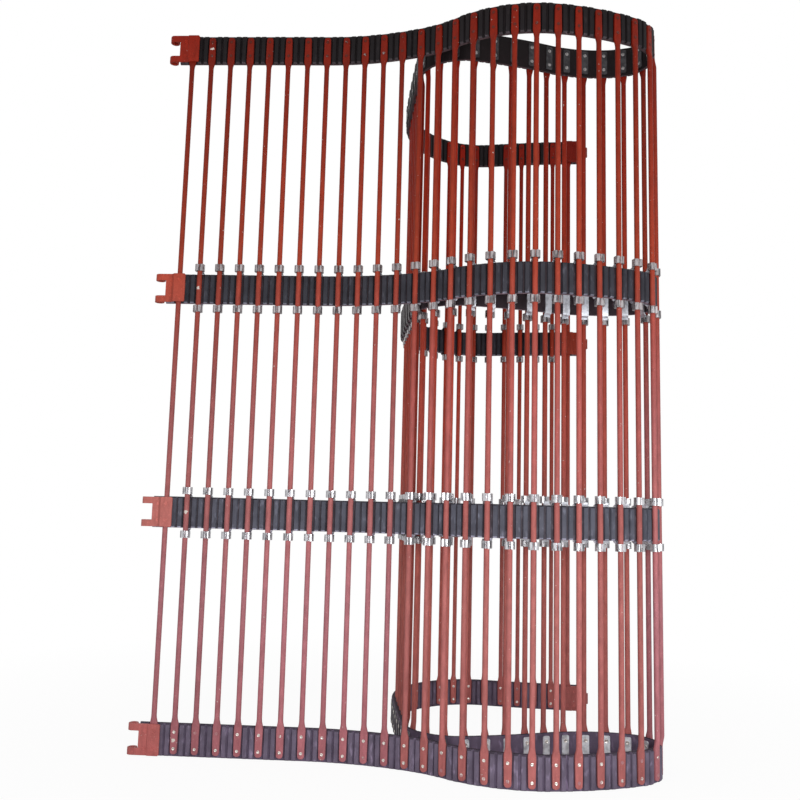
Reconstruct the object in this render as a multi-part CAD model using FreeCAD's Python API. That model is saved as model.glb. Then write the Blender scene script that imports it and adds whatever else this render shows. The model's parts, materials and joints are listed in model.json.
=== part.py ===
import FreeCAD, Part
import math
import os

from FreeCAD import Placement, Rotation, Vector

# A sieve belt that stands on its edge, folded in an S. Steel rods stand upright in a row, one
# pitch apart, and four flat rubber belts carry them. Lengths are in mm and angles in degrees.

# Belts: a flat web, with a moulded pad under each connector that leaves a seat for the end rod
PITCH = 40.0
BELT_WIDTH = 60.0
WEB_THICKNESS = 6.0
PAD_HEIGHT = 4.0
SEAT_WIDTH = 16.0
BELT_END = 27.0

# Heights between the belts' centre lines, from the floor up
LOWER_SPACING = 424.0
MIDDLE_SPACING = 444.0
UPPER_SPACING = 508.0

# Round outsides that repeat are drawn with this many flats, each touching the true circle
ROUND_SIDES = 8

# Rods: round bar, forged flat at both ends. The tip and the flat end inside the belt's edges.
ROD_DIAMETER = 10.0
FLAT_WIDTH = 13.5
FLAT_THICKNESS = 6.0
FLAT_INSET = 2.0
FLAT_TAPER = 14.0
TIP_INSET = 5.0
TIP_BEVEL = 4.0

# Clips on the inner belts: a strap behind the belt, with an ear over the rod beyond each edge
CLIP_THICKNESS = 3.0
EAR_GAP = 5.0
EAR_HEIGHT = 13.5

# Backing plates behind the rod ends on the outer belts, inside the belt's edges
PLATE_THICKNESS = 2.0
PLATE_WIDTH = 14.0
PLATE_INSET = 5.0

# Connectors at the two ends of the belt: fork at the first rod, tongue at the last
CONNECTOR_THICKNESS = 4.0
CONNECTOR_INSET = 2.5
CONNECTOR_EDGE = 13.5
PRONG_HEIGHT = 13.0
TONGUE_CLEARANCE = 2.5
EYE_BORE = 10.5
EYE_WALL = 4.0

# How the belt lies: gaps in a stretch, and the turn over that stretch (left is positive)
FIRST_HEADING = -3.0
LAY = {
    "front straight": (7, 0.5),
    "front swing": (5, -20.0),
    "front dip": (2, -17.0),
    "front belly": (5, 45.0),
    "front rise": (4, 18.0),
    "fold entry": (1, 20.5),
    "fold": (3, 117.5),
    "fold exit": (1, 13.0),
    "return ease": (3, 25.0),
    "return slant": (4, -9.5),
    "near corner": (4, -94.0),
    "side run": (6, -2.5),
    "far corner": (6, -63.0),
    "back turn": (3, -43.0),
    "back straight": (5, 7.5),
}

# Lengths of belt that move as one, with the rods in each; the belt flexes between them
LENGTHS = {
    "front_run": 12, "front_belly": 12, "fold_a": 1, "fold_b": 1, "fold_c": 1, "return_run": 9,
    "turn_a": 2, "turn_b": 4, "turn_c": 6, "turn_d": 5, "back_run": 7,
}

# Flex line between two lengths: a slot, cut back for the most that the belt bends there
FLEX_SLOT = 0.3
BEND_RODS_OUTSIDE = 46.0
BEND_RODS_INSIDE = 34.0

# Places that follow from these sizes. In a link's own frame the rod stands at x = 0, x runs
# along the belt, y points to the belt's back, and the web's middle plane is y = 0.
HALF_WEB = WEB_THICKNESS / 2
PAD_TOP = -HALF_WEB - PAD_HEIGHT
ROD_RADIUS = ROD_DIAMETER / 2
ROD_AXIS = -HALF_WEB - ROD_RADIUS
ROD_FRONT = -HALF_WEB - ROD_DIAMETER
FLAT_FRONT = -HALF_WEB - FLAT_THICKNESS
BOTTOM_BELT = BELT_WIDTH / 2
LOWER_BELT = BOTTOM_BELT + LOWER_SPACING
UPPER_BELT = LOWER_BELT + MIDDLE_SPACING
TOP_BELT = UPPER_BELT + UPPER_SPACING
BELTS = (BOTTOM_BELT, LOWER_BELT, UPPER_BELT, TOP_BELT)
OUTER_BELTS = (BOTTOM_BELT, TOP_BELT)
INNER_BELTS = (LOWER_BELT, UPPER_BELT)
WEB_TOP = TOP_BELT + BELT_WIDTH / 2
PLATE_HEIGHT = BELT_WIDTH - 2 * PLATE_INSET
CONNECTOR_HEIGHT = BELT_WIDTH - 2 * CONNECTOR_INSET
TONGUE_HEIGHT = CONNECTOR_HEIGHT - 2 * (PRONG_HEIGHT + TONGUE_CLEARANCE)


def lay_belt():
    """Place every link (x, y, heading) and the middle of every gap (x, y, heading, turn)."""
    turns = [total / gaps for gaps, total in LAY.values() for _ in range(gaps)]
    links = [(0.0, 0.0, FIRST_HEADING)]
    gaps = []
    for turn in turns:
        x, y, heading = links[-1]
        x += PITCH / 2 * math.cos(math.radians(heading))
        y += PITCH / 2 * math.sin(math.radians(heading))
        gaps.append((x, y, heading + turn / 2, turn))
        heading += turn
        x += PITCH / 2 * math.cos(math.radians(heading))
        y += PITCH / 2 * math.sin(math.radians(heading))
        links.append((x, y, heading))
    return links, gaps


def placement(x, y, heading):
    """The frame of a link that stands at x, y and points along heading."""
    return Placement(Vector(x, y, 0), Rotation(Vector(0, 0, 1), heading))


def round_outline(radius, x, y):
    """A round outline about x, y as a ring of flats, with one flat square to each axis."""
    corner = radius / math.cos(math.pi / ROUND_SIDES)
    angles = [2 * math.pi * (side + 0.5) / ROUND_SIDES for side in range(ROUND_SIDES)]
    return [(x + corner * math.cos(angle), y + corner * math.sin(angle)) for angle in angles]


def prism(points, low, high):
    """An upright solid on a closed plan outline."""
    corners = [Vector(x, y, low) for x, y in points]
    face = Part.Face(Part.makePolygon(corners + corners[:1]))
    return face.extrude(Vector(0, 0, high - low))


def upright(points, low, high):
    """A solid on a closed outline of y and z, between two values of x."""
    corners = [Vector(low, y, z) for y, z in points]
    face = Part.Face(Part.makePolygon(corners + corners[:1]))
    return face.extrude(Vector(high - low, 0, 0))


def box(x, y, z):
    """A block between the two values given for each direction."""
    size = [high - low for low, high in (x, y, z)]
    return Part.makeBox(*size, Vector(x[0], y[0], z[0]))


def flex_end(side):
    """The belt's end face at a flex line, from the rod side to the back (side is 1 or -1)."""
    reach = PITCH / 2 - FLEX_SLOT / 2
    rod_cut = HALF_WEB * math.tan(math.radians(BEND_RODS_INSIDE / 2))
    back_cut = HALF_WEB * math.tan(math.radians(BEND_RODS_OUTSIDE / 2))
    return [
        (side * (reach - rod_cut), -HALF_WEB), (side * reach, 0), (side * (reach - back_cut), HALF_WEB),
    ]


def belt_outline(first, last, links, gaps):
    """Plan outline of the belt from link first to link last, mitred at each gap between them."""

    def plan(link, points):
        return [tuple(placement(*links[link]).multVec(Vector(x, y, 0)))[:2] for x, y in points]

    def mitre(gap, depth):
        x, y, heading, turn = gaps[gap]
        reach = depth / math.cos(math.radians(turn / 2))
        return tuple(placement(x, y, heading).multVec(Vector(0, reach, 0)))[:2]

    seat = SEAT_WIDTH / 2
    pad = [(seat, -HALF_WEB), (seat, PAD_TOP), (BELT_END, PAD_TOP), (BELT_END, HALF_WEB)]
    start = flex_end(-1)[::-1]
    finish = flex_end(1)
    if first == 0:
        start = [(-x, y) for x, y in pad[::-1]]
    if last == len(links) - 1:
        finish = pad
    front = [mitre(gap, -HALF_WEB) for gap in range(first, last)]
    back = [mitre(gap, HALF_WEB) for gap in range(first, last)]
    return plan(first, start) + front + plan(last, finish) + back[::-1]


def make_rod():
    """One rod in its link's frame: round bar with a flat at each end, backs in one plane."""
    bar_low = BELT_WIDTH - FLAT_INSET
    bar_high = WEB_TOP - bar_low
    shoulder = bar_low + FLAT_TAPER
    bar = prism(round_outline(ROD_RADIUS, 0, ROD_AXIS), bar_low, bar_high)
    swage = upright(
        [(FLAT_FRONT, bar_low), (ROD_FRONT, shoulder), (ROD_FRONT, bar_low)], -FLAT_WIDTH, FLAT_WIDTH
    )
    half = FLAT_WIDTH / 2
    flat_outline = [
        (-half, TIP_INSET + TIP_BEVEL), (TIP_BEVEL - half, TIP_INSET), (half - TIP_BEVEL, TIP_INSET),
        (half, TIP_INSET + TIP_BEVEL), (half, bar_low), (ROD_RADIUS, shoulder),
        (-ROD_RADIUS, shoulder), (-half, bar_low),
    ]
    corners = [Vector(x, FLAT_FRONT, z) for x, z in flat_outline]
    flat = Part.Face(Part.makePolygon(corners + corners[:1])).extrude(Vector(0, FLAT_THICKNESS, 0))
    over = Placement(Vector(0, 0, WEB_TOP), Rotation(Vector(0, 1, 0), 180))
    ends = [flat, flat.copy()]
    cuts = [swage, swage.copy()]
    ends[1].Placement = over
    cuts[1].Placement = over
    return bar.cut(cuts).fuse(ends).removeSplitter()


def make_clip(centre):
    """One clip in its link's frame: a strap behind the belt with an ear over the rod at each end."""
    half_width = ROD_RADIUS + CLIP_THICKNESS
    ear_start = BELT_WIDTH / 2 + EAR_GAP
    ear_end = ear_start + EAR_HEIGHT
    back = (HALF_WEB, HALF_WEB + CLIP_THICKNESS)
    strap = box((-half_width, half_width), back, (centre - ear_end, centre + ear_end))
    ear = [
        (-half_width, HALF_WEB), (-half_width, ROD_FRONT - CLIP_THICKNESS),
        (half_width, ROD_FRONT - CLIP_THICKNESS), (half_width, HALF_WEB),
        (ROD_RADIUS, HALF_WEB), (ROD_RADIUS, ROD_FRONT),
        (-ROD_RADIUS, ROD_FRONT), (-ROD_RADIUS, HALF_WEB),
    ]
    lower = prism(ear, centre - ear_end, centre - ear_start)
    upper = prism(ear, centre + ear_start, centre + ear_end)
    return strap.fuse([lower, upper]).removeSplitter()


def make_backing_plate(centre):
    """One backing plate in its link's frame, flat on the belt's back."""
    half = PLATE_WIDTH / 2
    low = centre - PLATE_HEIGHT / 2
    return box((-half, half), (HALF_WEB, HALF_WEB + PLATE_THICKNESS), (low, low + PLATE_HEIGHT))


def make_end_plate(centre, side):
    """The backing plate behind a connector, as long as the belt's end."""
    reach = sorted((side * BELT_END, -side * CONNECTOR_EDGE))
    low = centre - PLATE_HEIGHT / 2
    return box(reach, (HALF_WEB, HALF_WEB + PLATE_THICKNESS), (low, low + PLATE_HEIGHT))


def make_connector(centre, side, rise, knuckles):
    """A pressed plate over the end rod, with a rolled eye one pitch out at each knuckle.

    side is the way out of the belt along x, and rise is how far the rod or its flat stands
    above its seat. knuckles gives each eye's lowest and highest point about the belt's centre.
    """
    seat = SEAT_WIDTH / 2
    step = rise - PAD_HEIGHT
    high = PAD_TOP - step
    skin = -CONNECTOR_THICKNESS
    eye_radius = EYE_BORE / 2 + EYE_WALL
    eye_axis = PAD_TOP + skin + eye_radius
    foot = seat + step
    body = [
        (-CONNECTOR_EDGE, high), (seat, high), (foot, PAD_TOP), (BELT_END, PAD_TOP),
        (BELT_END, PAD_TOP + skin), (foot, PAD_TOP + skin), (seat, high + skin),
        (-CONNECTOR_EDGE, high + skin),
    ]
    prong = [(BELT_END, PAD_TOP), (BELT_END, PAD_TOP + skin), (PITCH, PAD_TOP + skin), (PITCH, PAD_TOP)]
    half = CONNECTOR_HEIGHT / 2
    plate = prism([(side * x, y) for x, y in body], centre - half, centre + half)
    eyes = []
    bores = []
    rolled = round_outline(eye_radius, side * PITCH, eye_axis)
    for low, top in knuckles:
        base = Vector(side * PITCH, eye_axis, centre + low)
        eyes.append(prism([(side * x, y) for x, y in prong], centre + low, centre + top))
        eyes.append(prism(rolled, centre + low, centre + top))
        bores.append(Part.makeCylinder(EYE_BORE / 2, top - low, base))
    return plate.fuse(eyes).cut(bores).removeSplitter()


def build():
    """Every node of the belt as a list of solids, with the first link at the origin."""
    links, gaps = lay_belt()
    places = [placement(*link) for link in links]
    half = CONNECTOR_HEIGHT / 2
    fork = [(-half, PRONG_HEIGHT - half), (half - PRONG_HEIGHT, half)]
    tongue = [(-TONGUE_HEIGHT / 2, TONGUE_HEIGHT / 2)]
    rod = make_rod()
    clips = [make_clip(centre) for centre in INNER_BELTS]
    plates = [make_backing_plate(centre) for centre in OUTER_BELTS]
    nodes = {}

    def add(node, shape, link):
        solid = shape.copy()
        solid.Placement = places[link]
        nodes.setdefault(node, []).append(solid)

    first = 0
    last_link = len(links) - 1
    for length, rods in LENGTHS.items():
        last = first + rods - 1
        outline = belt_outline(first, last, links, gaps)
        nodes["belts_" + length] = [
            prism(outline, centre - BELT_WIDTH / 2, centre + BELT_WIDTH / 2) for centre in BELTS
        ]
        for link in range(first, last + 1):
            add("rods_" + length, rod, link)
            if 0 < link < last_link:
                for clip in clips:
                    add("clips_" + length, clip, link)
                for plate in plates:
                    add("plates_" + length, plate, link)
        first = last + 1
    ends = (("forks", fork, 0, -1, "front_run"), ("tongues", tongue, last_link, 1, "back_run"))
    for kind, knuckles, link, side, length in ends:
        for centre in BELTS:
            rise = FLAT_THICKNESS if centre in OUTER_BELTS else ROD_DIAMETER
            add(kind, make_connector(centre, side, rise, knuckles), link)
            add("plates_" + length, make_end_plate(centre, side), link)
    return nodes


def centre_of(nodes):
    """The middle of the footprint, on the floor."""
    whole = Part.makeCompound([solid for solids in nodes.values() for solid in solids])
    bounds = whole.optimalBoundingBox(False)
    return Vector(bounds.Center.x, bounds.Center.y, 0)


nodes = build()
centre = centre_of(nodes)
os.makedirs("parts", exist_ok=True)
for name, solids in nodes.items():
    shape = Part.makeCompound(solids)
    shape.translate(-centre)
    shape.exportStep("parts/" + name + ".step")
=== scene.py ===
import json
import math

import bmesh
import bpy
from mathutils import Matrix, Vector

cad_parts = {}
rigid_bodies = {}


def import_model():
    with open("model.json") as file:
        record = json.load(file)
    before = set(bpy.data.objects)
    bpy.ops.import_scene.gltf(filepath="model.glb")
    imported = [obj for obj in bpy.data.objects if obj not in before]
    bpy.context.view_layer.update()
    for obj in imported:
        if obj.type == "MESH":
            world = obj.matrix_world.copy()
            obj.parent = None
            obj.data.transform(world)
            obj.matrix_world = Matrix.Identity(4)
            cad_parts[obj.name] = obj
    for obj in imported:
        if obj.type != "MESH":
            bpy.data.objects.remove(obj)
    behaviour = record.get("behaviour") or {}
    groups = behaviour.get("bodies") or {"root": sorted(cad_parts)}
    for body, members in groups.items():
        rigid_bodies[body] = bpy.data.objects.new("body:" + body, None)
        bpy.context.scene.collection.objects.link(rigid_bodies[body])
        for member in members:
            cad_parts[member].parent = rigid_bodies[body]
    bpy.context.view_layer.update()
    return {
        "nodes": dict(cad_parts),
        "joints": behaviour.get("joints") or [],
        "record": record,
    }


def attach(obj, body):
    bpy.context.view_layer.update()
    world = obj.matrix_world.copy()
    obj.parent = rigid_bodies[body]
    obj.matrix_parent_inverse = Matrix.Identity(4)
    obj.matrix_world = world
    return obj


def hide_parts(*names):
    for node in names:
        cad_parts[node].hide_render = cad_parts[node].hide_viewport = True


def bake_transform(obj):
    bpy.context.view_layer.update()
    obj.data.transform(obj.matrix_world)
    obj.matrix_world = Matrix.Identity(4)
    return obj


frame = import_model()

# Belts. Four flat belts of black rubber over fabric plies, moulded with cross ribs on the rod side.
# A bare seat lies under each rod, and two ribs with a groove between them fill each gap, where the
# belt bends. One piece belongs to each body, and one more is laid across each flex line in its rest shape.
BODIES = list(frame["record"]["behaviour"]["bodies"])
ROD_SPREAD = 0.02
TIP_HEIGHT = 0.03
WEB_THICKNESS = 0.006
WEB_EDGE_RADIUS = 0.0012
SEAT_LENGTH = 0.016
BELT_END = 0.027
GAP_STEPS = 8
RIB_HEIGHT = 0.004
RIB_SINK = 0.0006
RIB_SECTION = ((0.0050, 0.0), (0.0046, 0.6), (0.0036, 1.0))
RIB_INSET = 0.0006
RIB_END = 0.0022
RIB_END_SHARE = 0.4
RIB_SHARES = (0.235, 0.765)
END_RIBS = (0.0135, 0.0215)
SHARP_ANGLE = math.radians(38)
CLOUD_WIDTH = 0.030
SMEAR_WIDTH = 0.007
SMEAR_SQUEEZE = 0.35
GRAIN_WIDTH = 0.001
DUSTY_SPECULAR = 0.12


class Seat:
    """A rod's seat on the belt: its middle on the floor plan, the way along the belt and to its back."""

    def __init__(self, middle, along, back):
        self.middle = middle
        self.along = along
        self.back = back

    def place(self, along, back, height):
        """A point given along the belt, towards its back and up from the floor."""
        return self.middle + self.along * along + self.back * back + Vector((0, 0, height))

    def heading(self):
        """The angle of the belt on the floor plan."""
        return math.atan2(self.along.y, self.along.x)


def seats_of(body):
    """The rod seats of a body in order along the belt, read from the flat tips of its rods."""
    rods = []
    for vertex in frame["nodes"]["rods_" + body].data.vertices:
        point = vertex.co.copy()
        near = [rod for rod in rods if (rod[0] - point).xy.length < ROD_SPREAD]
        if near:
            near[0].append(point)
        else:
            rods.append([point])
    seats = []
    for rod in rods:
        tip = [Vector(xy) for xy in {(round(p.x, 6), round(p.y, 6)) for p in rod if p.z < TIP_HEIGHT}]
        middle = sum(tip, Vector((0, 0))) / len(tip)
        spread = [point - middle for point in tip]
        across = sum(d.x * d.x - d.y * d.y for d in spread)
        angle = math.atan2(2 * sum(d.x * d.y for d in spread), across) / 2
        along = Vector((math.cos(angle), math.sin(angle)))
        back = Vector((-along.y, along.x))
        bar = sum((point.xy for point in rod), Vector((0, 0))) / len(rod)
        if (middle - bar).dot(back) < 0:
            along = -along
            back = -back
        half_flat = max(abs(d.dot(back)) for d in spread)
        seats.append(Seat((middle + back * half_flat).to_3d(), along.to_3d(), back.to_3d()))
    run = sum((seat.along for seat in seats), Vector())
    return sorted(seats, key=lambda seat: seat.middle.dot(run))


def belt_edges():
    """The lower and upper edge of each belt, from the floor up."""
    belts = frame["nodes"]["belts_" + BODIES[0]].data.vertices
    heights = sorted({round(vertex.co.z, 5) for vertex in belts})
    return list(zip(heights[::2], heights[1::2]))


EDGES = belt_edges()
TOP = EDGES[-1][1]
BELT_WIDTH = EDGES[0][1] - EDGES[0][0]
CENTRES = [(low + high) / 2 for low, high in EDGES]
SEATS = {body: seats_of(body) for body in BODIES}


def gap_point(first, second, share):
    """A point on the web's middle between two seats, with its heading; share runs from 0 to 1."""
    half_web = WEB_THICKNESS / 2
    a = first.place(0, half_web, 0)
    b = second.place(0, half_web, 0)
    half_turn = first.along.angle(second.along) / 2
    corner = a + first.along * (b - a).length / (2 * math.cos(half_turn))
    start = a + first.along * SEAT_LENGTH / 2
    end = b - second.along * SEAT_LENGTH / 2
    point = start * (1 - share) ** 2 + corner * 2 * share * (1 - share) + end * share**2
    way = (corner - start) * (1 - share) + (end - corner) * share
    return point, math.atan2(way.y, way.x)


def add_node(tree, kind, inputs=None, **settings):
    """Add one node with its settings; an input is a value or the socket that feeds it."""
    node = tree.nodes.new(kind)
    for name, value in settings.items():
        setattr(node, name, value)
    for socket, value in (inputs or {}).items():
        if isinstance(value, bpy.types.NodeSocket):
            tree.links.new(value, node.inputs[socket])
        else:
            node.inputs[socket].default_value = value
    return node


def new_tree(name, sizes):
    """A geometry node tree with one named input for each size, and its two end nodes."""
    tree = bpy.data.node_groups.new(name, "GeometryNodeTree")
    tree.interface.new_socket("Geometry", in_out="OUTPUT", socket_type="NodeSocketGeometry")
    tree.interface.new_socket("Geometry", in_out="INPUT", socket_type="NodeSocketGeometry")
    for size, kind in sizes.items():
        tree.interface.new_socket(size, in_out="INPUT", socket_type=kind)
    return tree, add_node(tree, "NodeGroupInput").outputs, add_node(tree, "NodeGroupOutput")


def run_tree(name, tree, mesh, values):
    """Run a tree on a mesh with values for its inputs, and keep the result as a plain mesh."""
    source = bpy.data.objects.new(name, mesh)
    bpy.context.scene.collection.objects.link(source)
    modifier = source.modifiers.new("tree", "NODES")
    modifier.node_group = tree
    for item in tree.interface.items_tree:
        if item.item_type == "SOCKET" and item.in_out == "INPUT" and item.name in values:
            modifier[item.identifier] = values[item.name]
    evaluated = source.evaluated_get(bpy.context.evaluated_depsgraph_get())
    result = bpy.data.meshes.new_from_object(evaluated)
    source.modifiers.remove(modifier)
    source.data = result
    result.name = name
    result.polygons.foreach_set("use_smooth", [True] * len(result.polygons))
    result.set_sharp_from_angle(angle=SHARP_ANGLE)
    return source


def linear(hex_colour):
    """A colour written as sRGB hex, in the linear values that shaders take."""
    parts = [int(hex_colour[i:i + 2], 16) / 255 for i in (1, 3, 5)]
    return [c / 12.92 if c <= 0.04045 else ((c + 0.055) / 1.055) ** 2.4 for c in parts] + [1.0]


def new_material(name):
    """A material with its node tree and the shader in it."""
    material = bpy.data.materials.new(name)
    material.use_nodes = True
    return material, material.node_tree, material.node_tree.nodes["Principled BSDF"]


def height_colour(tree, stops):
    """A colour that runs from stop to stop up the belt; a stop is a height in metres and a colour."""
    place = add_node(tree, "ShaderNodeTexCoord").outputs["Object"]
    height = add_node(tree, "ShaderNodeSeparateXYZ", {"Vector": place}).outputs["Z"]
    share = add_node(tree, "ShaderNodeMapRange", {"Value": height, "From Max": TOP}).outputs["Result"]
    ramp = add_node(tree, "ShaderNodeValToRGB", {"Fac": share})
    for stop, colour in stops[1:-1]:
        ramp.color_ramp.elements.new(stop / TOP).color = linear(colour)
    ramp.color_ramp.elements[0].color = linear(stops[0][1])
    ramp.color_ramp.elements[-1].color = linear(stops[-1][1])
    return ramp.outputs["Color"]


def rubber(name, stops, roughness):
    """Moulded natural rubber: near black and dull, with painted light and shade that pale it lower down.

    The mould and the dust give soft cloudy patches about 30 mm wide and rubbed smears about 7 mm
    wide and three times as tall, over a grain of 1 mm that is drawn coarser than the real one so
    that it shows. Faces turned down are painted paler, most so from 0.4 m up, and faces turned
    up are painted darker, as painted light and shade.
    """
    material, tree, shader = new_material(name)
    shader.inputs["Specular IOR Level"].default_value = DUSTY_SPECULAR
    place = add_node(tree, "ShaderNodeTexCoord").outputs["Object"]
    clouds = add_node(tree, "ShaderNodeTexNoise", {
        "Vector": place, "Scale": 1 / CLOUD_WIDTH, "Detail": 4.0,
    }).outputs["Fac"]
    grain = add_node(tree, "ShaderNodeTexNoise", {
        "Vector": place, "Scale": 1 / GRAIN_WIDTH, "Detail": 2.0,
    }).outputs["Fac"]
    tone = add_node(tree, "ShaderNodeMapRange", {
        "Value": clouds, "From Min": 0.3, "From Max": 0.7, "To Min": 0.75, "To Max": 1.25,
    }).outputs["Result"]
    normal = add_node(tree, "ShaderNodeNewGeometry").outputs["Normal"]
    upward = add_node(tree, "ShaderNodeSeparateXYZ", {"Vector": normal}).outputs["Z"]
    height = add_node(tree, "ShaderNodeSeparateXYZ", {"Vector": place}).outputs["Z"]
    # Painted light: faces turned down are painted up to six times paler, none of it near the floor
    painted_underlight = add_node(tree, "ShaderNodeMapRange", {
        "Value": height, "From Min": 0.1, "From Max": 0.4, "To Min": 1.0, "To Max": 6.0,
    }).outputs["Result"]
    under = add_node(tree, "ShaderNodeMapRange", {
        "Value": upward, "From Min": -0.9, "From Max": -0.4, "To Min": painted_underlight, "To Max": 1.0,
    }).outputs["Result"]
    # Painted shade: faces turned up are painted darker, down to about a third
    over = add_node(tree, "ShaderNodeMapRange", {
        "Value": upward, "From Min": 0.3, "From Max": 0.9, "To Min": 1.0, "To Max": 0.35,
    }).outputs["Result"]
    drawn = add_node(tree, "ShaderNodeMapping", {"Vector": place, "Scale": (1.0, 1.0, SMEAR_SQUEEZE)})
    rubbed = add_node(tree, "ShaderNodeTexNoise", {
        "Vector": drawn.outputs["Vector"], "Scale": 1 / SMEAR_WIDTH, "Detail": 3.0,
    }).outputs["Fac"]
    smears = add_node(tree, "ShaderNodeMapRange", {
        "Value": rubbed, "From Min": 0.58, "From Max": 0.75, "To Min": 1.0, "To Max": 2.0,
    }).outputs["Result"]
    for effect in (under, over, smears):
        tone = add_node(tree, "ShaderNodeMath", {0: tone, 1: effect}, operation="MULTIPLY").outputs["Value"]
    colour = add_node(tree, "ShaderNodeVectorMath", {
        0: height_colour(tree, stops), "Scale": tone,
    }, operation="SCALE")
    dull = add_node(tree, "ShaderNodeMapRange", {
        "Value": clouds, "To Min": roughness - 0.12, "To Max": roughness + 0.12,
    })
    bump = add_node(tree, "ShaderNodeBump", {"Height": grain, "Strength": 0.18, "Distance": 0.0006})
    tree.links.new(colour.outputs["Vector"], shader.inputs["Base Color"])
    tree.links.new(dull.outputs["Result"], shader.inputs["Roughness"])
    tree.links.new(bump.outputs["Normal"], shader.inputs["Normal"])
    return material


# The web is darker and duller than the ribs, whose faces are rubbed by the crop
# Both run from pale near the floor to near black at the top: painted light and shade by height
web_rubber = rubber("moulded_rubber_web", (
    (0.0, "#62566A"), (0.45, "#4C464D"), (0.9, "#362D32"), (TOP, "#181213"),
), 0.68)
rib_rubber = rubber("moulded_rubber_ribs", (
    (0.0, "#6A6072"), (0.45, "#545560"), (0.9, "#36363D"), (TOP, "#191415"),
), 0.6)


def loft(name, rings):
    """A closed mesh through rings of points, with a cap on the first and the last ring."""
    shape = bmesh.new()
    rows = [[shape.verts.new(point) for point in ring] for ring in rings]
    for low, high in zip(rows, rows[1:]):
        for i in range(len(low)):
            j = (i + 1) % len(low)
            shape.faces.new((low[i], low[j], high[j], high[i]))
    shape.faces.new(rows[0][::-1])
    shape.faces.new(rows[-1])
    bmesh.ops.recalc_face_normals(shape, faces=shape.faces)
    mesh = bpy.data.meshes.new(name)
    shape.to_mesh(mesh)
    shape.free()
    return mesh


def rib_ring(height, share):
    """The rib's section at one height, where it stands up by a share of its full height."""
    right = [(half, -RIB_HEIGHT * rise * share) for half, rise in RIB_SECTION]
    left = [(-half, depth) for half, depth in right[::-1]]
    base = [(-RIB_SECTION[0][0], RIB_SINK), (RIB_SECTION[0][0], RIB_SINK)]
    return [Vector((x, y, height)) for x, y in right + left + base]


belt_tree, sizes, out = new_tree("ribbed belt", {
    "Width": "NodeSocketFloat", "Thickness": "NodeSocketFloat", "Edge radius": "NodeSocketFloat",
    "Rib": "NodeSocketObject", "Web rubber": "NodeSocketMaterial", "Rib rubber": "NodeSocketMaterial",
})
runs = add_node(belt_tree, "GeometryNodeMeshToCurve", {"Mesh": sizes["Geometry"]})
upright = add_node(belt_tree, "GeometryNodeSetCurveNormal", {"Curve": runs.outputs["Curve"]}, mode="Z_UP")
section = add_node(belt_tree, "GeometryNodeCurvePrimitiveQuadrilateral", {
    "Width": sizes["Thickness"], "Height": sizes["Width"],
})
rounded = add_node(belt_tree, "GeometryNodeFilletCurve", {
    "Curve": section.outputs["Curve"], "Count": 2, "Radius": sizes["Edge radius"],
}, mode="POLY")
web = add_node(belt_tree, "GeometryNodeCurveToMesh", {
    "Curve": upright.outputs["Curve"], "Profile Curve": rounded.outputs["Curve"], "Fill Caps": True,
})
web_set = add_node(belt_tree, "GeometryNodeSetMaterial", {
    "Geometry": web.outputs["Mesh"], "Material": sizes["Web rubber"],
})
is_rib = add_node(belt_tree, "GeometryNodeInputNamedAttribute", {"Name": "is_rib"}, data_type="BOOLEAN")
heading = add_node(belt_tree, "GeometryNodeInputNamedAttribute", {"Name": "heading"}, data_type="FLOAT")
turned = add_node(belt_tree, "ShaderNodeCombineXYZ", {"Z": heading.outputs["Attribute"]})
spots = add_node(belt_tree, "GeometryNodeMeshToPoints", {
    "Mesh": sizes["Geometry"], "Selection": is_rib.outputs["Attribute"],
})
rib = add_node(belt_tree, "GeometryNodeObjectInfo", {"Object": sizes["Rib"]})
ribs = add_node(belt_tree, "GeometryNodeInstanceOnPoints", {
    "Points": spots.outputs["Points"], "Instance": rib.outputs["Geometry"],
    "Rotation": turned.outputs["Vector"],
})
rib_mesh = add_node(belt_tree, "GeometryNodeRealizeInstances", {"Geometry": ribs.outputs["Instances"]})
rib_set = add_node(belt_tree, "GeometryNodeSetMaterial", {
    "Geometry": rib_mesh.outputs["Geometry"], "Material": sizes["Rib rubber"],
})
whole = add_node(belt_tree, "GeometryNodeJoinGeometry")
belt_tree.links.new(web_set.outputs["Geometry"], whole.inputs["Geometry"])
belt_tree.links.new(rib_set.outputs["Geometry"], whole.inputs["Geometry"])
belt_tree.links.new(whole.outputs["Geometry"], out.inputs["Geometry"])


def pattern(shape):
    """An object that holds a shape while a tree sets copies of it; it goes when they are set."""
    holder = bpy.data.objects.new("pattern", shape)
    bpy.context.scene.collection.objects.link(holder)
    return holder


def belt_piece(name, line, ribs):
    """The four belts along one line of plan points, with ribs at the points and headings given."""
    vertices = []
    edges = []
    headings = []
    for centre in CENTRES:
        start = len(vertices)
        vertices += [point + Vector((0, 0, centre)) for point in line]
        edges += [(i, i + 1) for i in range(start, len(vertices) - 1)]
    count = len(vertices)
    for centre in CENTRES:
        for point, heading in ribs:
            back = Vector((-math.sin(heading), math.cos(heading), 0))
            vertices.append(point - back * WEB_THICKNESS / 2 + Vector((0, 0, centre)))
            headings.append(heading)
    mesh = bpy.data.meshes.new(name)
    mesh.from_pydata(vertices, edges, [])
    mesh.attributes.new("is_rib", "BOOLEAN", "POINT")
    mesh.attributes["is_rib"].data.foreach_set("value", [i >= count for i in range(len(vertices))])
    mesh.attributes.new("heading", "FLOAT", "POINT")
    mesh.attributes["heading"].data.foreach_set("value", [0.0] * count + headings)
    rib = pattern(rib_shape)
    piece = run_tree(name, belt_tree, mesh, {
        "Width": BELT_WIDTH, "Thickness": WEB_THICKNESS, "Edge radius": WEB_EDGE_RADIUS,
        "Rib": rib, "Web rubber": web_rubber, "Rib rubber": rib_rubber,
    })
    bpy.data.objects.remove(rib)
    return piece


def seat_line(seat, start, end):
    """The web's middle line on one seat, from start to end along the belt."""
    return [seat.place(reach, WEB_THICKNESS / 2, 0) for reach in (start, 0, end)]


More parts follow.
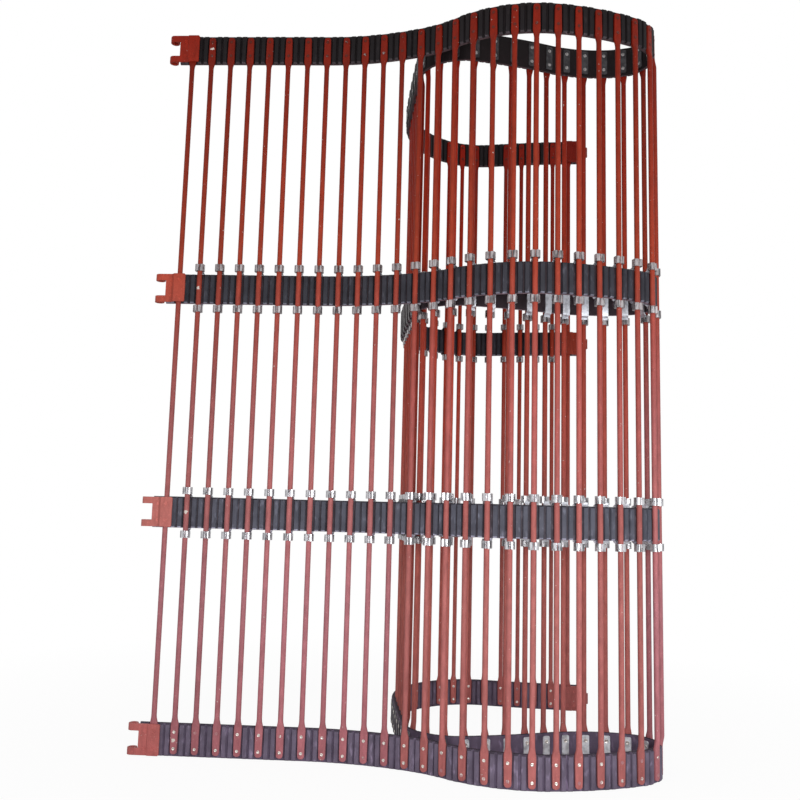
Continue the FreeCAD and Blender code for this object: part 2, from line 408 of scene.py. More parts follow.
rib_half = BELT_WIDTH / 2 - RIB_INSET
rib_shape = loft("rib", [
    rib_ring(-rib_half, RIB_END_SHARE), rib_ring(RIB_END - rib_half, 1.0),
    rib_ring(rib_half - RIB_END, 1.0), rib_ring(rib_half, RIB_END_SHARE),
])
for body in BODIES:
    line = []
    ribs = []
    for i, seat in enumerate(SEATS[body]):
        first = body == BODIES[0] and i == 0
        last = body == BODIES[-1] and i == len(SEATS[body]) - 1
        start = -BELT_END if first else -SEAT_LENGTH / 2
        end = BELT_END if last else SEAT_LENGTH / 2
        if i > 0:
            before = SEATS[body][i - 1]
            line += [gap_point(before, seat, step / GAP_STEPS)[0] for step in range(1, GAP_STEPS)]
            ribs += [gap_point(before, seat, share) for share in RIB_SHARES]
        if first or last:
            way = -1 if first else 1
            ribs += [(seat.place(way * reach, WEB_THICKNESS / 2, 0), seat.heading()) for reach in END_RIBS]
        line += seat_line(seat, start, end)
    belts = belt_piece("belts_" + body + "_ribbed", line, ribs)
    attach(belts, body)
    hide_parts("belts_" + body)

for joint in frame["joints"]:
    before = SEATS[joint["parent"]][-1]
    after = SEATS[joint["child"]][0]
    line = [gap_point(before, after, step / GAP_STEPS)[0] for step in range(GAP_STEPS + 1)]
    ribs = [gap_point(before, after, share) for share in RIB_SHARES]
    belts = belt_piece("belts_" + joint["name"], line, ribs)
    middle, heading = gap_point(before, after, 0.5)
    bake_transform(belts)

# Rods. Round steel bar, forged flat at both ends so that it lies on the outer belts, with a short neck
# between the flat and the bar, and sprayed red all over. The flats are riveted through the belt.
ROD_RADIUS = 0.005
ROD_SIDES = 16
FLAT_THICKNESS = 0.006
FLAT_TIP_WIDTH = 0.0128
FLAT_NECK_WIDTH = 0.0146
FLAT_TIP = 0.005
FLAT_TIP_RADIUS = 0.005
FLAT_TIP_POWER = 2.4
FLAT_EDGE_POWER = 0.35
FLAT_FACE_POWER = 0.22
NECK_START = 0.056
NECK_END = 0.074
ROD_RINGS = (0.0052, 0.0061, 0.0076, 0.0100, 0.0300, 0.0520, 0.0560, 0.0605, 0.0650, 0.0695, 0.0740)
FADED_WIDTH = 0.009
FADED_SQUEEZE = 0.35
SPECK_WIDTH = 0.002
CHIP_WIDTH = 0.004
PEEL_WIDTH = 0.003
SCRAPE_SPREAD = 0.009
SCRAPE_CUT = (-0.0012, -0.0016)


def squared(share, power):
    """A sine or cosine drawn towards 1, which turns a round outline into a rounded square."""
    return math.copysign(abs(share) ** power, share)


def rod_ring(height):
    """The rod's outline at one height: flat near its ends, round between them, its back on the seat."""
    reach = min(height, TOP - height)
    share = min(max((reach - NECK_START) / (NECK_END - NECK_START), 0), 1)
    share = share * share * (3 - 2 * share)
    flare = min((reach - FLAT_TIP) / (NECK_START - FLAT_TIP), 1)
    half_width = (FLAT_TIP_WIDTH + (FLAT_NECK_WIDTH - FLAT_TIP_WIDTH) * flare) / 2
    corner = max(1 - (reach - FLAT_TIP) / FLAT_TIP_RADIUS, 0)
    half_width *= (1 - corner**FLAT_TIP_POWER) ** (1 / FLAT_TIP_POWER)
    half_flat = FLAT_THICKNESS / 2
    ring = []
    for side in range(ROD_SIDES):
        angle = 2 * math.pi * (side + 0.5) / ROD_SIDES
        x = math.cos(angle)
        y = math.sin(angle)
        flat_x = half_width * squared(x, FLAT_EDGE_POWER)
        flat_y = half_flat * (squared(y, FLAT_FACE_POWER) - 1)
        round_x = ROD_RADIUS * x
        round_y = ROD_RADIUS * (y - 1)
        x = flat_x + (round_x - flat_x) * share
        y = flat_y + (round_y - flat_y) * share
        ring.append(Vector((x, y, height)))
    return ring


def red_enamel(name, stops, scrapes):
    """Alkyd enamel sprayed on steel: brick red that has lost its gloss, mottled by dust and handling.

    It is painted darker towards the top and paler near the floor, as painted light and shade, with
    faded patches 9 mm wide and about 25 mm long, specks of 2 mm, and a few pale chips up to 4 mm wide
    where rods have knocked against each other. scrapes are points with a ragged pale spot of 6 mm.
    The skin has a light orange peel, drawn at 3 mm so that it shows.
    """
    material, tree, shader = new_material(name)
    shader.inputs["Specular IOR Level"].default_value = DUSTY_SPECULAR
    place = add_node(tree, "ShaderNodeTexCoord").outputs["Object"]
    drawn = add_node(tree, "ShaderNodeMapping", {"Vector": place, "Scale": (1.0, 1.0, FADED_SQUEEZE)})
    faded = add_node(tree, "ShaderNodeTexNoise", {
        "Vector": drawn.outputs["Vector"], "Scale": 1 / FADED_WIDTH, "Detail": 4.0, "Roughness": 0.6,
    }).outputs["Fac"]
    tone = add_node(tree, "ShaderNodeAttribute", attribute_name="tone").outputs["Fac"]
    specks = add_node(tree, "ShaderNodeTexNoise", {
        "Vector": place, "Scale": 1 / SPECK_WIDTH, "Detail": 1.0,
    }).outputs["Fac"]
    level = add_node(tree, "ShaderNodeMapRange", {
        "Value": faded, "From Min": 0.3, "From Max": 0.7, "To Min": 0.82, "To Max": 1.16,
    }).outputs["Result"]
    each = add_node(tree, "ShaderNodeMapRange", {
        "Value": tone, "To Min": 0.88, "To Max": 1.12,
    }).outputs["Result"]
    dusty = add_node(tree, "ShaderNodeMapRange", {
        "Value": specks, "From Min": 0.64, "From Max": 0.74, "To Min": 1.0, "To Max": 1.35,
    }).outputs["Result"]
    for effect in (each, dusty):
        level = add_node(tree, "ShaderNodeMath", {
            0: level, 1: effect,
        }, operation="MULTIPLY").outputs["Value"]
    red = add_node(tree, "ShaderNodeVectorMath", {
        0: height_colour(tree, stops), "Scale": level,
    }, operation="SCALE").outputs["Vector"]
    knocks = add_node(tree, "ShaderNodeTexNoise", {
        "Vector": place, "Scale": 1 / CHIP_WIDTH, "Detail": 3.0,
    }).outputs["Fac"]
    chips = add_node(tree, "ShaderNodeMapRange", {
        "Value": knocks, "From Min": 0.735, "From Max": 0.745,
    }).outputs["Result"]
    for scrape in scrapes:
        near = add_node(tree, "ShaderNodeVectorMath", {0: place, 1: scrape}, operation="DISTANCE")
        ragged = add_node(tree, "ShaderNodeMath", {
            0: knocks, 1: -SCRAPE_SPREAD, 2: near.outputs["Value"],
        }, operation="MULTIPLY_ADD").outputs["Value"]
        spot = add_node(tree, "ShaderNodeMapRange", {
            "Value": ragged, "From Min": SCRAPE_CUT[0], "From Max": SCRAPE_CUT[1],
        }).outputs["Result"]
        chips = add_node(tree, "ShaderNodeMath", {0: chips, 1: spot}, operation="MAXIMUM").outputs["Value"]
    chipped = add_node(tree, "ShaderNodeMix", {
        "Factor": chips, 6: red, 7: linear("#D9CEC6"),
    }, data_type="RGBA").outputs[2]
    gloss = add_node(tree, "ShaderNodeMapRange", {"Value": faded, "To Min": 0.35, "To Max": 0.65})
    peel = add_node(tree, "ShaderNodeTexNoise", {
        "Vector": place, "Scale": 1 / PEEL_WIDTH, "Detail": 1.0,
    }).outputs["Fac"]
    bump = add_node(tree, "ShaderNodeBump", {"Height": peel, "Strength": 0.12, "Distance": 0.0008})
    tree.links.new(chipped, shader.inputs["Base Color"])
    tree.links.new(gloss.outputs["Result"], shader.inputs["Roughness"])
    tree.links.new(bump.outputs["Normal"], shader.inputs["Normal"])
    return material


set_tree, sizes, out = new_tree("pieces along the belt", {
    "Piece": "NodeSocketObject", "Seed": "NodeSocketInt", "Finish": "NodeSocketMaterial",
})
spots = add_node(set_tree, "GeometryNodeMeshToPoints", {"Mesh": sizes["Geometry"]})
heading = add_node(set_tree, "GeometryNodeInputNamedAttribute", {"Name": "heading"}, data_type="FLOAT")
turned = add_node(set_tree, "ShaderNodeCombineXYZ", {"Z": heading.outputs["Attribute"]})
piece = add_node(set_tree, "GeometryNodeObjectInfo", {"Object": sizes["Piece"]})
copies = add_node(set_tree, "GeometryNodeInstanceOnPoints", {
    "Points": spots.outputs["Points"], "Instance": piece.outputs["Geometry"],
    "Rotation": turned.outputs["Vector"],
})
tone = add_node(set_tree, "FunctionNodeRandomValue", {"Seed": sizes["Seed"]}, data_type="FLOAT")
toned = add_node(set_tree, "GeometryNodeStoreNamedAttribute", {
    "Geometry": copies.outputs["Instances"], "Name": "tone", "Value": tone.outputs[1],
}, data_type="FLOAT", domain="INSTANCE")
whole = add_node(set_tree, "GeometryNodeRealizeInstances", {"Geometry": toned.outputs["Geometry"]})
finished = add_node(set_tree, "GeometryNodeSetMaterial", {
    "Geometry": whole.outputs["Geometry"], "Material": sizes["Finish"],
})
set_tree.links.new(finished.outputs["Geometry"], out.inputs["Geometry"])


def set_along(name, body, shape, spots, finish):
    """One piece of a body: the shape set at each spot, which is a point and a heading."""
    points = bpy.data.meshes.new(name)
    points.from_pydata([point for point, heading in spots], [], [])
    points.attributes.new("heading", "FLOAT", "POINT")
    points.attributes["heading"].data.foreach_set("value", [heading for point, heading in spots])
    holder = pattern(shape)
    seed = BODIES.index(body) + 1
    piece = run_tree(name, set_tree, points, {"Piece": holder, "Seed": seed, "Finish": finish})
    bpy.data.objects.remove(holder)
    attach(piece, body)
    return piece


def rod_finish(body):
    """The rods' paint as painted light: pinker with sheen in the front run and fold, lighter in the turn.
    """
    if body.startswith("turn_"):
        return shade_lifted_enamel
    if body == "front_belly":
        return belly_enamel
    return rod_enamel if BODIES.index(body) < BODIES.index("return_run") else inside_enamel


second = SEATS[BODIES[0]][1]
outer_scrapes = [second.place(0, -FLAT_THICKNESS, centre) for centre in (CENTRES[0], CENTRES[-1])]
inner_scrapes = [second.place(0, -2 * ROD_RADIUS, centre) for centre in CENTRES[1:-1]]
# Painted light: the outer rods are painted pinker as a painted sheen, those further in a fuller red
rod_enamel = red_enamel("red_enamel_on_rods", (
    (0.0, "#A9686E"), (0.3, "#AA6D74"), (0.47, "#AA6564"), (0.65, "#9F5A59"), (0.95, "#993A27"),
    (TOP, "#731A0D"),
), outer_scrapes + inner_scrapes)
# Painted light: a copy for the fold's rods, painted a little more orange where they are half lit
belly_enamel = red_enamel("red_enamel_painted_half_lit", (
    (0.0, "#AC6563"), (0.3, "#AD6864"), (0.47, "#A75E5A"), (0.65, "#A75752"), (0.95, "#993A26"),
    (TOP, "#781A0B"),
), ())
# Painted light: a copy for the rods further in and the tongues, painted a fuller red without the sheen
inside_enamel = red_enamel("red_enamel_painted_inner_light", (
    (0.0, "#AE6360"), (0.3, "#B0645D"), (0.65, "#A94D41"), (0.95, "#9C3420"), (TOP, "#7E1709"),
), ())
# Painted light: a copy painted lighter for the turn's rods, which stand in each other's shade
shade_lifted_enamel = red_enamel("red_enamel_painted_lighter_for_shade", (
    (0.0, "#BE6D68"), (0.3, "#C06D64"), (0.65, "#BE5446"), (0.95, "#B0361D"), (TOP, "#901706"),
), ())
rod_heights = list(ROD_RINGS) + [TOP - reach for reach in ROD_RINGS[::-1]]
rod_shape = loft("rod", [rod_ring(height) for height in rod_heights])
for body in BODIES:
    spots = [(seat.middle, seat.heading()) for seat in SEATS[body]]
    rods = set_along("rods_" + body + "_forged", body, rod_shape, spots, rod_finish(body))
    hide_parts("rods_" + body)

# Backing plates. Flat strips sheared from zinc plated steel, one behind each rod end on the outer belts,
# and wider ones behind the connectors on all four belts. Rivets hold them flat on the belt's back.
PLATE_THICKNESS = 0.002
PLATE_WIDTH = 0.014
PLATE_INSET = 0.005
PLATE_CORNER = 0.003
CORNER_STEPS = 3
PLATE_EDGE = 0.0004
CONNECTOR_EDGE = 0.0135
ROLLING_WIDTH = 0.001
ROLLING_SQUEEZE = 0.06


def rounded_outline(x, z, corner, depth):
    """An upright rectangle with rounded corners, between two values of x and of z."""
    ring = []
    for quarter, (far_x, far_z) in enumerate(((1, 1), (0, 1), (0, 0), (1, 0))):
        centre = Vector((x[far_x] - (2 * far_x - 1) * corner, depth, z[far_z] - (2 * far_z - 1) * corner))
        for step in range(CORNER_STEPS + 1):
            angle = math.pi / 2 * (quarter + step / CORNER_STEPS)
            ring.append(centre + corner * Vector((math.cos(angle), 0, math.sin(angle))))
    return ring


def flat_strip(name, x, z, depth):
    """A flat strip with its back edge eased, between two values of x, of z and of depth."""
    eased_x = (x[0] + PLATE_EDGE, x[1] - PLATE_EDGE)
    eased_z = (z[0] + PLATE_EDGE, z[1] - PLATE_EDGE)
    return loft(name, [
        rounded_outline(x, z, PLATE_CORNER, depth[0]),
        rounded_outline(x, z, PLATE_CORNER, depth[1] - PLATE_EDGE),
        rounded_outline(eased_x, eased_z, PLATE_CORNER - PLATE_EDGE, depth[1]),
    ])


def zinc_plate(name, stops, roughness, patch, stretch, darkest):
    """Zinc plate on mild steel: bluish white with a soft mirror, and a chalky bloom in patches.

    patch is the patches' width, stretch draws them out upwards, and darkest is the shade between
    them. Fine rolling marks up the strip are drawn 1 mm apart so that they show.
    """
    material, tree, shader = new_material(name)
    place = add_node(tree, "ShaderNodeTexCoord").outputs["Object"]
    drawn = add_node(tree, "ShaderNodeMapping", {"Vector": place, "Scale": (1.0, 1.0, 1 / stretch)})
    bloom = add_node(tree, "ShaderNodeTexNoise", {
        "Vector": drawn.outputs["Vector"], "Scale": 1 / patch, "Detail": 3.0,
    }).outputs["Fac"]
    fine = add_node(tree, "ShaderNodeMapping", {"Vector": place, "Scale": (1.0, 1.0, ROLLING_SQUEEZE)})
    marks = add_node(tree, "ShaderNodeTexNoise", {
        "Vector": fine.outputs["Vector"], "Scale": 1 / ROLLING_WIDTH, "Detail": 2.0,
    }).outputs["Fac"]
    shade = add_node(tree, "ShaderNodeMapRange", {
        "Value": bloom, "From Min": 0.36, "From Max": 0.56, "To Min": darkest, "To Max": 1.0,
    })
    colour = add_node(tree, "ShaderNodeVectorMath", {
        0: height_colour(tree, stops), "Scale": shade.outputs["Result"],
    }, operation="SCALE").outputs["Vector"]
    chalk = add_node(tree, "ShaderNodeMapRange", {
        "Value": bloom, "From Min": 0.4, "From Max": 0.65, "To Min": 1.0, "To Max": 0.5,
    })
    gloss = add_node(tree, "ShaderNodeMapRange", {
        "Value": bloom, "To Min": roughness - 0.15, "To Max": roughness + 0.15,
    })
    bump = add_node(tree, "ShaderNodeBump", {"Height": marks, "Strength": 0.1, "Distance": 0.0004})
    tree.links.new(colour, shader.inputs["Base Color"])
    tree.links.new(chalk.outputs["Result"], shader.inputs["Metallic"])
    tree.links.new(gloss.outputs["Result"], shader.inputs["Roughness"])
    tree.links.new(bump.outputs["Normal"], shader.inputs["Normal"])
    return material


# All four are painted darker towards the top as a painted reflection, the straps' bluish stop too
PLATE_ZINC = ((0.0, "#E6E9EE"), (0.9, "#E8EDF6"), (1.2, "#6A686C"), (TOP, "#3C3A3C"))
RIVET_ZINC = ((0.0, "#EFE9E2"), (0.9, "#DEDCDC"), (TOP, "#9A9696"))
SLEEVE_ZINC = ((0.0, "#CACACE"), (0.45, "#C8C8CC"), (0.9, "#A8A2A4"), (TOP, "#7E7878"))
TURN_ZINC_PAINTED_SHADE = ((0.0, "#7C7A80"), (0.9, "#6A6668"), (1.2, "#504C4E"), (TOP, "#3C3A3C"))
# Bright plate softly mirrors the white around it, and in the turn it is painted a dull grey as painted
# shade
bright_zinc = zinc_plate("bright_zinc_plated_steel", PLATE_ZINC, 0.5, 0.009, 1.0, 0.7)
painted_shade_zinc = zinc_plate("zinc_plated_steel_painted_shade", TURN_ZINC_PAINTED_SHADE, 0.55, 0.009, 1.0, 0.6)
OUTER = (CENTRES[0], CENTRES[-1])
INNER = CENTRES[1:-1]
FIRST = SEATS[BODIES[0]][0]
LAST = SEATS[BODIES[-1]][-1]


def spots_on(body, centres):
    """The places and headings of the pieces behind a body's rods, the belt's end rods left out."""
    seats = [seat for seat in SEATS[body] if seat not in (FIRST, LAST)]
    return [(seat.place(0, 0, centre), seat.heading()) for seat in seats for centre in centres]


def plate_zinc(body):
    """The finish of plates and straps: the turn's are painted a dull dark grey as painted shade."""
    return painted_shade_zinc if body.startswith("turn_") else bright_zinc


plate_back = WEB_THICKNESS + PLATE_THICKNESS
plate_half = BELT_WIDTH / 2 - PLATE_INSET
tall = (-plate_half, plate_half)
thick = (WEB_THICKNESS, plate_back)
plate_shape = flat_strip("backing plate", (-PLATE_WIDTH / 2, PLATE_WIDTH / 2), tall, thick)
end_shape = flat_strip("end plate", (-CONNECTOR_EDGE, BELT_END), tall, thick)
start_shape = flat_strip("start plate", (-BELT_END, CONNECTOR_EDGE), tall, thick)
for body in BODIES:
    spots = spots_on(body, OUTER)
    plates = set_along(
        "plates_" + body + "_sheared", body, plate_shape, spots, plate_zinc(body)
    )
    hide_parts("plates_" + body)
for body, seat, shape in ((BODIES[0], FIRST, start_shape), (BODIES[-1], LAST, end_shape)):
    spots = [(seat.place(0, 0, centre), seat.heading()) for centre in CENTRES]
    set_along("plates_" + body + "_ends", body, shape, spots, bright_zinc)

# Clips. Each is pressed from zinc plated strip: a strap behind an inner belt, with a neck beyond each belt
# edge that is bent forward to the rod, and a pair of wings there that are crimped round the rod.
CLIP_THICKNESS = 0.0028
STRAP_WIDTH = 0.014
STRAP_BEND = (-0.0010, 0.0022)
STRAP_BEND_RISE = 0.0012
NECK_WIDTH = 0.0125
NECK_BACK = 0.0002
NECK_LAP = 0.004
EAR_GAP = 0.005
EAR_HEIGHT = 0.0135
SLEEVE_BORE = 0.0051
SLEEVE_SPREAD = 1.17
SLEEVE_POWER = 0.65
SEAM_ANGLES = (3, 9)
SEAM_DEPTHS = (0.0024, 0.0)
SLEEVE_ANGLES = (26, 46, 76, 106, 136, 166)


def strap_ring(width, back, height):
    """The strap's section at one height, with its front face at the given depth."""
    half = width / 2
    corners = ((-half, 0), (half, 0), (half, CLIP_THICKNESS), (-half, CLIP_THICKNESS))
    return [Vector((x, back + y, height)) for x, y in corners]


def sleeves(name, spans):
    """Sleeves round the rod, pressed nearly square, each between two heights, with a seam in front."""
    angles = list(zip(SEAM_ANGLES + SLEEVE_ANGLES, SEAM_DEPTHS + (0.0,) * len(SLEEVE_ANGLES)))
    angles += [(360 - angle, depth) for angle, depth in angles[::-1]]
    shape = bmesh.new()
    for low, high in spans:
        rows = []
        for angle, depth in angles:
            x = math.sin(math.radians(angle))
            y = -math.cos(math.radians(angle))
            reach = SLEEVE_BORE + CLIP_THICKNESS - depth
            inner = Vector((x * SLEEVE_BORE, y * SLEEVE_BORE - ROD_RADIUS, 0))
            outer = Vector((squared(x, SLEEVE_POWER) * SLEEVE_SPREAD, squared(y, SLEEVE_POWER), 0)) * reach
            outer.y -= ROD_RADIUS
            corners = ((inner, low), (outer, low), (outer, high), (inner, high))
            rows.append([shape.verts.new((point.x, point.y, height)) for point, height in corners])
        for first, second in zip(rows, rows[1:]):
            for i in range(4):
                j = (i + 1) % 4
                shape.faces.new((first[i], first[j], second[j], second[i]))
        shape.faces.new(rows[0])
        shape.faces.new(rows[-1])
    bmesh.ops.recalc_face_normals(shape, faces=shape.faces)
    mesh = bpy.data.meshes.new(name)
    shape.to_mesh(mesh)
    shape.free()
    return mesh


# The crimping tool rubbed the sleeves smooth; their upright light and dark streaks are painted reflection
crimped_zinc = zinc_plate("crimped_zinc_painted_streaks", SLEEVE_ZINC, 0.28, 0.004, 5.0, 0.35)
ear_start = BELT_WIDTH / 2 + EAR_GAP
ear_end = ear_start + EAR_HEIGHT
strap_half = [
    (STRAP_WIDTH, WEB_THICKNESS, BELT_WIDTH / 2 + STRAP_BEND[0]),
    (STRAP_WIDTH, WEB_THICKNESS - STRAP_BEND_RISE, BELT_WIDTH / 2 + STRAP_BEND[1]),
    (NECK_WIDTH, NECK_BACK, ear_start), (NECK_WIDTH, NECK_BACK, ear_start + NECK_LAP),
]
strap_rings = [strap_ring(width, back, -height) for width, back, height in strap_half[::-1]]
strap_shape = loft("strap", strap_rings + [strap_ring(*station) for station in strap_half])
sleeve_shape = sleeves("sleeves", ((ear_start, ear_end), (-ear_end, -ear_start)))
for body in BODIES:
    spots = spots_on(body, INNER)
    straps = set_along("clips_" + body + "_straps", body, strap_shape, spots, plate_zinc(body))
    set_along("clips_" + body + "_sleeves", body, sleeve_shape, spots, crimped_zinc)
    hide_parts("clips_" + body)

# Connectors. Plates pressed from steel and painted red, riveted over the end rod of each belt: forks with
# two rolled eyes at the first rod, tongues with one at the last. The eyes stay open for a joining rod.
CONNECTOR_THICKNESS = 0.004
CONNECTOR_HEIGHT = 0.057
CONNECTOR_CORNER = 0.002
CONNECTOR_BEVEL = 0.0006
BEVEL_ANGLE = math.radians(40)
PRONG_HEIGHT = 0.013
TONGUE_HEIGHT = 0.024
PITCH = 0.040
EYE_BORE = 0.0105
EYE_ANGLES = range(0, 331, 22)


def connector(name, seat, way, rise, rows, knuckles, finish):
    """A connector at one belt, as a sheet of cells up and along that gets its thickness at the end.

    way is 1 or -1 for out of the belt, rise is how far the rod stands above its seat, rows are
    the heights between cells, and knuckles are the rows of cells that reach out to the eyes.
    """
    half = CONNECTOR_THICKNESS / 2
    foot = SEAT_LENGTH / 2 + rise - RIB_HEIGHT
    over = -rise - half
    low = -RIB_HEIGHT - half
    plate = [
        (-CONNECTOR_EDGE, over, CONNECTOR_CORNER), (CONNECTOR_CORNER - CONNECTOR_EDGE, over, 0),
        (SEAT_LENGTH / 2, over, 0), (foot, low, 0), (BELT_END, low, 0),
    ]
    roll = EYE_BORE / 2 + half
    eye = [
        (PITCH + roll * math.sin(math.radians(angle)), low + roll - roll * math.cos(math.radians(angle)), 0)
        for angle in EYE_ANGLES
    ]
    shape = bmesh.new()
    columns = []
    for out, back, corner in plate + eye:
        column = []
        for row, height in enumerate(rows):
            cut = corner if row == 0 else -corner if row == len(rows) - 1 else 0
            column.append(shape.verts.new(seat.place(way * out, back, height + cut)))
        columns.append(column)
    for i, (first, second) in enumerate(zip(columns, columns[1:])):
        for row in range(len(rows) - 1):
            if i < len(plate) - 1 or row in knuckles:
                shape.faces.new((first[row], second[row], second[row + 1], first[row + 1]))
    loose = [vertex for vertex in shape.verts if not vertex.link_faces]
    bmesh.ops.delete(shape, geom=loose, context="VERTS")
    bmesh.ops.recalc_face_normals(shape, faces=shape.faces)
    mesh = bpy.data.meshes.new(name)
    shape.to_mesh(mesh)
    shape.free()
    mesh.materials.append(finish)
    piece = bpy.data.objects.new(name, mesh)
    bpy.context.scene.collection.objects.link(piece)
    wall = piece.modifiers.new("wall", "SOLIDIFY")
    wall.thickness = CONNECTOR_THICKNESS
    wall.offset = 0.0
    wall.use_even_offset = True
    eased = piece.modifiers.new("eased edges", "BEVEL")
    eased.width = CONNECTOR_BEVEL
    eased.segments = 2
    eased.limit_method = "ANGLE"
    eased.angle_limit = BEVEL_ANGLE
    return piece


# Painted light: the forks' plates are painted lighter than the rods, as their flat faces catch the light
plate_enamel = red_enamel("red_enamel_on_plates", (
    (0.0, "#BE6A67"), (0.45, "#C4746D"), (0.95, "#B64B38"), (TOP, "#922415"),
), ())
half_height = CONNECTOR_HEIGHT / 2
fork_rows = (-half_height, PRONG_HEIGHT - half_height, half_height - PRONG_HEIGHT, half_height)
tongue_rows = (-half_height, -TONGUE_HEIGHT / 2, TONGUE_HEIGHT / 2, half_height)
for kind, body, seat, way, rows, knuckles, finish in (
    ("fork", BODIES[0], FIRST, -1, fork_rows, (0, 2), plate_enamel),
    ("tongue", BODIES[-1], LAST, 1, tongue_rows, (1,), inside_enamel),
):
    for i, centre in enumerate(CENTRES):
        rise = FLAT_THICKNESS if centre in OUTER else 2 * ROD_RADIUS
        heights = [centre + height for height in rows]
        piece = connector(f"{kind}_{i + 1}_pressed", seat, way, rise, heights, knuckles, finish)
        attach(piece, body)
        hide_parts(kind + "s")

# Rivets. Semi-tubular steel rivets with a dished head, two through each rod end and its backing plate
# and four through each connector, closed cold. Spray has covered part of the heads in front.
RIVET_SIDES = 10
RIVET_PROFILE = ((0.0032, -0.0004), (0.0032, 0.0002), (0.0028, 0.0007), (0.0019, 0.0009), (0.0009, 0.0004))
CLOSED_PROFILE = ((0.0037, -0.0004), (0.0037, 0.0003), (0.0031, 0.0009), (0.0021, 0.0008), (0.0013, 0.0001))
RIVET_SPACING = 0.030
WORN_WIDTH = 0.003
# The spray on rivet heads is painted pale near the floor and dark at the top, as painted light and shade
RIVET_PAINT = ((0.0, "#B07C80"), (TOP, "#5A2015"))
CONNECTOR_ROWS = (-0.016, 0.016)
CONNECTOR_COLUMNS = (-0.001, 0.0155)


def rivet_steel(name):
    """Zinc plated rivet heads: bright where rubbed, with red spray left on most of the upper ones."""
    material = zinc_plate(name, RIVET_ZINC, 0.35, 0.0025, 1.0, 0.6)
    tree = material.node_tree
    shader = tree.nodes["Principled BSDF"]
    shader.inputs["Specular IOR Level"].default_value = DUSTY_SPECULAR
    bright = shader.inputs["Base Color"].links[0].from_socket
    place = add_node(tree, "ShaderNodeTexCoord").outputs["Object"]
    height = add_node(tree, "ShaderNodeSeparateXYZ", {"Vector": place}).outputs["Z"]
    rise = add_node(tree, "ShaderNodeMapRange", {
        "Value": height, "From Max": TOP, "To Min": -0.2, "To Max": 0.6,
    }).outputs["Result"]
    tone = add_node(tree, "ShaderNodeAttribute", attribute_name="tone").outputs["Fac"]
    worn = add_node(tree, "ShaderNodeTexNoise", {
        "Vector": place, "Scale": 1 / WORN_WIDTH, "Detail": 2.0,
    }).outputs["Fac"]
    spray = add_node(tree, "ShaderNodeMath", {0: tone, 1: rise}, operation="ADD").outputs["Value"]
    kept = add_node(tree, "ShaderNodeMath", {0: worn, 1: -0.8, 2: spray}, operation="MULTIPLY_ADD")
    painted = add_node(tree, "ShaderNodeMapRange", {
        "Value": kept.outputs["Value"], "From Min": 0.05, "From Max": 0.2,
    }).outputs["Result"]
    colour = add_node(tree, "ShaderNodeMix", {
        "Factor": painted, 6: bright, 7: height_colour(tree, RIVET_PAINT),
    }, data_type="RGBA").outputs[2]
    bare = add_node(tree, "ShaderNodeMath", {0: 1.0, 1: painted}, operation="SUBTRACT")
    tree.links.new(colour, shader.inputs["Base Color"])
    tree.links.new(bare.outputs["Value"], shader.inputs["Metallic"])
    return material


def rivet_ring(radius, rise):
    """One ring of a rivet head, at a rise from the face it sits on."""
    angles = [2 * math.pi * i / RIVET_SIDES for i in range(RIVET_SIDES)]
    return [Vector((radius * math.cos(angle), -rise, radius * math.sin(angle))) for angle in angles]


rivet_shape = loft("rivet", [rivet_ring(radius, rise) for radius, rise in RIVET_PROFILE])
closed_shape = loft("closed rivet", [rivet_ring(radius, rise) for radius, rise in CLOSED_PROFILE])
sprayed_rivets = rivet_steel("zinc_rivets_under_spray")
bare_rivets = zinc_plate("zinc_plated_rivets", RIVET_ZINC, 0.35, 0.0025, 1.0, 0.6)
for body in BODIES:
    front = []
    back = []
    for seat in SEATS[body]:
        for centre in OUTER if seat not in (FIRST, LAST) else ():
            for row in (-RIVET_SPACING / 2, RIVET_SPACING / 2):
                front.append((seat.place(0, -FLAT_THICKNESS, centre + row), seat.heading()))
                back.append((seat.place(0, plate_back, centre + row), seat.heading() + math.pi))
    set_along("rivets_" + body + "_front", body, rivet_shape, front, sprayed_rivets)
    set_along("rivets_" + body + "_back", body, closed_shape, back, bare_rivets)
for body, seat, way, finish in ((BODIES[0], FIRST, -1, plate_enamel), (BODIES[-1], LAST, 1, inside_enamel)):
    front = []
    back = []
    for centre in CENTRES:
        rise = FLAT_THICKNESS if centre in OUTER else 2 * ROD_RADIUS
        for column, stand in zip(CONNECTOR_COLUMNS, (rise, RIB_HEIGHT)):
            for row in CONNECTOR_ROWS:
                depth = -stand - CONNECTOR_THICKNESS
                front.append((seat.place(way * column, depth, centre + row), seat.heading()))
                back.append((seat.place(way * column, plate_back, centre + row), seat.heading() + math.pi))
    set_along("rivets_" + body + "_connector", body, closed_shape, front, finish)
    set_along("rivets_" + body + "_connector_back", body, closed_shape, back, bare_rivets)

# Floor, lights and camera. A plain white floor and surround, a soft lamp to the right of the camera
# and a wider, weaker one to its left. The camera stands low in front and looks up a little.
CAMERA_PLACE = (-0.0025, -1.8745, 0.4694)
CAMERA_PITCH = math.radians(7.2)
CAMERA_ROLL = math.radians(1.485)
CAMERA_LENS = 39.1
CAMERA_SENSOR = 36.0
FLOOR_HALF = 8.0
FLOOR_DROP = 0.0005
LAMPS = (("key", (0.6, -2.0, 0.65), 0.5, 19.0), ("fill", (-1.6, -2.2, 0.9), 1.5, 6.0))
LAMP_AIM = Vector((0, 0, 0.7))

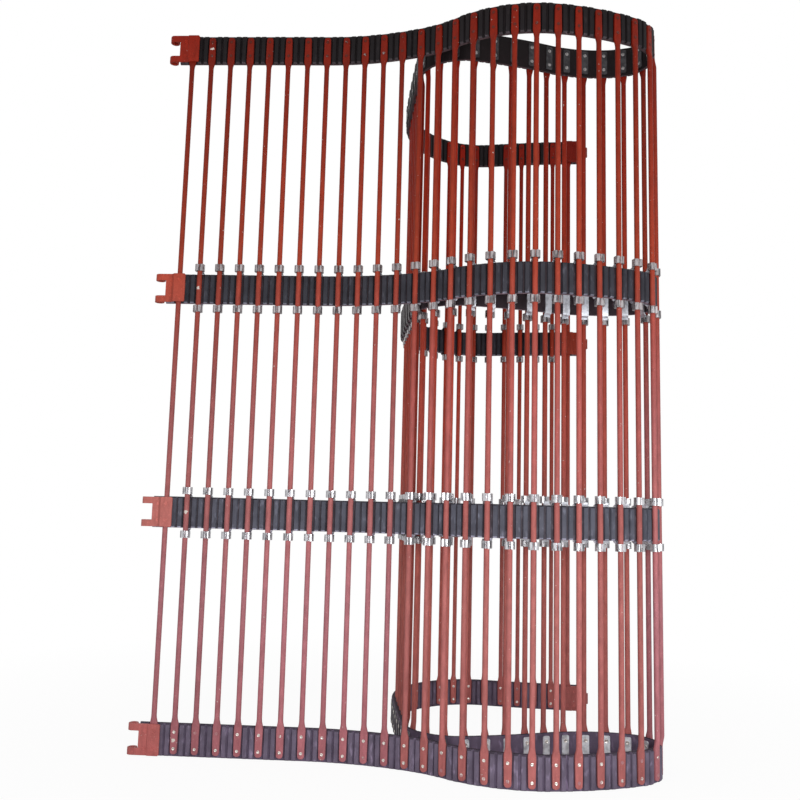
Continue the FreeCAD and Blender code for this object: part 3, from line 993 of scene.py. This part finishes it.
scene = bpy.context.scene
scene.view_settings.view_transform = "Standard"
camera = bpy.data.objects.new("camera", bpy.data.cameras.new("camera"))
camera.data.lens = CAMERA_LENS
camera.data.sensor_width = CAMERA_SENSOR
tilt = Matrix.Rotation(math.pi / 2 + CAMERA_PITCH, 4, "X") @ Matrix.Rotation(CAMERA_ROLL, 4, "Z")
camera.matrix_world = Matrix.Translation(CAMERA_PLACE) @ tilt
scene.collection.objects.link(camera)
scene.camera = camera

floor_mesh = bpy.data.meshes.new("floor")
corners = [(x * FLOOR_HALF, y * FLOOR_HALF, 0) for x, y in ((-1, -1), (1, -1), (1, 1), (-1, 1))]
floor_mesh.from_pydata(corners, [], [(0, 1, 2, 3)])
floor = bpy.data.objects.new("floor", floor_mesh)
floor.location.z = -FLOOR_DROP
scene.collection.objects.link(floor)

# White floor paint: matt, it keeps the object's soft shadow, and the camera sees it lifted to white,
# wholly so at a distance
floor_white, tree, shader = new_material("white_floor_paint")
shader.inputs["Base Color"].default_value = linear("#FFFFFF")
shader.inputs["Roughness"].default_value = 0.9
shader.inputs["Specular IOR Level"].default_value = 0.0
glow = add_node(tree, "ShaderNodeEmission", {"Color": linear("#FFFFFF"), "Strength": 1.0})
rays = add_node(tree, "ShaderNodeLightPath").outputs
place = add_node(tree, "ShaderNodeTexCoord").outputs["Object"]
away = add_node(tree, "ShaderNodeVectorMath", {0: place}, operation="LENGTH").outputs["Value"]
lift = add_node(tree, "ShaderNodeMapRange", {
    "Value": away, "From Min": 0.5, "From Max": 1.5, "To Min": 0.94,
}).outputs["Result"]
share = add_node(tree, "ShaderNodeMath", {0: rays["Is Camera Ray"], 1: lift}, operation="MULTIPLY")
lifted = add_node(tree, "ShaderNodeMixShader", {
    0: share.outputs["Value"], 1: shader.outputs["BSDF"], 2: glow.outputs["Emission"],
})
tree.links.new(lifted.outputs["Shader"], tree.nodes["Material Output"].inputs["Surface"])
floor_mesh.materials.append(floor_white)

# Surround: white where the camera, a reflection or a clear part sees it, and soft light on the rest
world = bpy.data.worlds.new("white_surround")
scene.world = world
world.use_nodes = True
tree = world.node_tree
rays = add_node(tree, "ShaderNodeLightPath").outputs
seen = add_node(tree, "ShaderNodeMath", {
    0: rays["Is Camera Ray"], 1: rays["Is Glossy Ray"],
}, operation="MAXIMUM").outputs["Value"]
seen = add_node(tree, "ShaderNodeMath", {0: seen, 1: rays["Is Transmission Ray"]}, operation="MAXIMUM")
strength = add_node(tree, "ShaderNodeMapRange", {
    "Value": seen.outputs["Value"], "To Min": 0.43, "To Max": 1.0,
})
tree.nodes["Background"].inputs["Color"].default_value = linear("#FFFFFF")
tree.links.new(strength.outputs["Result"], tree.nodes["Background"].inputs["Strength"])

for name, place, size, power in LAMPS:
    lamp = bpy.data.objects.new(name, bpy.data.lights.new(name, "AREA"))
    lamp.data.size = size
    lamp.data.energy = power
    lamp.location = place
    lamp.rotation_euler = (LAMP_AIM - lamp.location).to_track_quat("-Z", "Y").to_euler()
    scene.collection.objects.link(lamp)
